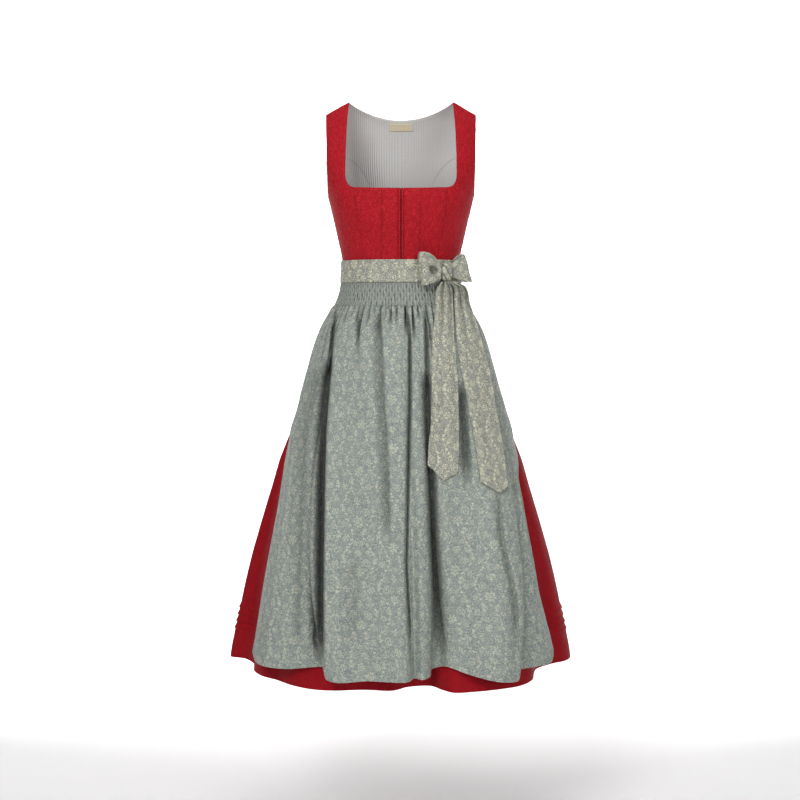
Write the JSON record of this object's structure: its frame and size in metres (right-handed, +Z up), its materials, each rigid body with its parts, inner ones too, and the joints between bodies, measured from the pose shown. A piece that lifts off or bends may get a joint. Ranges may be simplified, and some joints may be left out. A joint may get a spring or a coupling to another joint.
{
  "type": "dirndl dress",
  "caption": "Red sleeveless dirndl with a square neck and tucked skirt, a pale blue smocked apron and a cream sash tied in a bow, filled out as it is worn.",
  "frame": {"origin": "midway between the two neck points, on the line where the straps rest on the wearer's shoulders", "axes": "+Z up along the garment, -Y towards the front, +X towards the wearer's left"},
  "size_m": [0.7239, 0.6458, 1.1762],
  "materials": {
    "bodice_cloth": "tone-on-tone red jacquard",
    "skirt_cloth": "plain dark red cloth with a soft sheen",
    "lining_cloth": "pale grey striped cotton",
    "apron_cloth": "blue-grey and cream floral jacquard",
    "sash_cloth": "cream floral jacquard",
    "label_cloth": "bare woven cream"
  },
  "bodies": {
    "root": {"front_inner_left": "bodice_cloth", "front_inner_right": "bodice_cloth", "front_middle_left": "bodice_cloth", "front_middle_right": "bodice_cloth", "front_side_with_strap_left": "bodice_cloth", "front_side_with_strap_right": "bodice_cloth", "back_side_left": "bodice_cloth", "back_side_right": "bodice_cloth", "back_centre_with_straps": "bodice_cloth", "front_piping_left": "bodice_cloth", "front_piping_right": "bodice_cloth", "lining_back_centre": "lining_cloth", "lining_back_side_left": "lining_cloth", "lining_back_side_right": "lining_cloth", "neck_label": "label_cloth", "skirt_front": "skirt_cloth", "skirt_back": "skirt_cloth", "apron_panel": "apron_cloth", "apron_smocked_head": "apron_cloth", "sash_band": "sash_cloth", "bow_knot": "sash_cloth", "bow_loop_right": "sash_cloth", "bow_loop_left": "sash_cloth", "sash_end_right": "sash_cloth", "sash_end_left": "sash_cloth"}
  },
  "joints": []
}
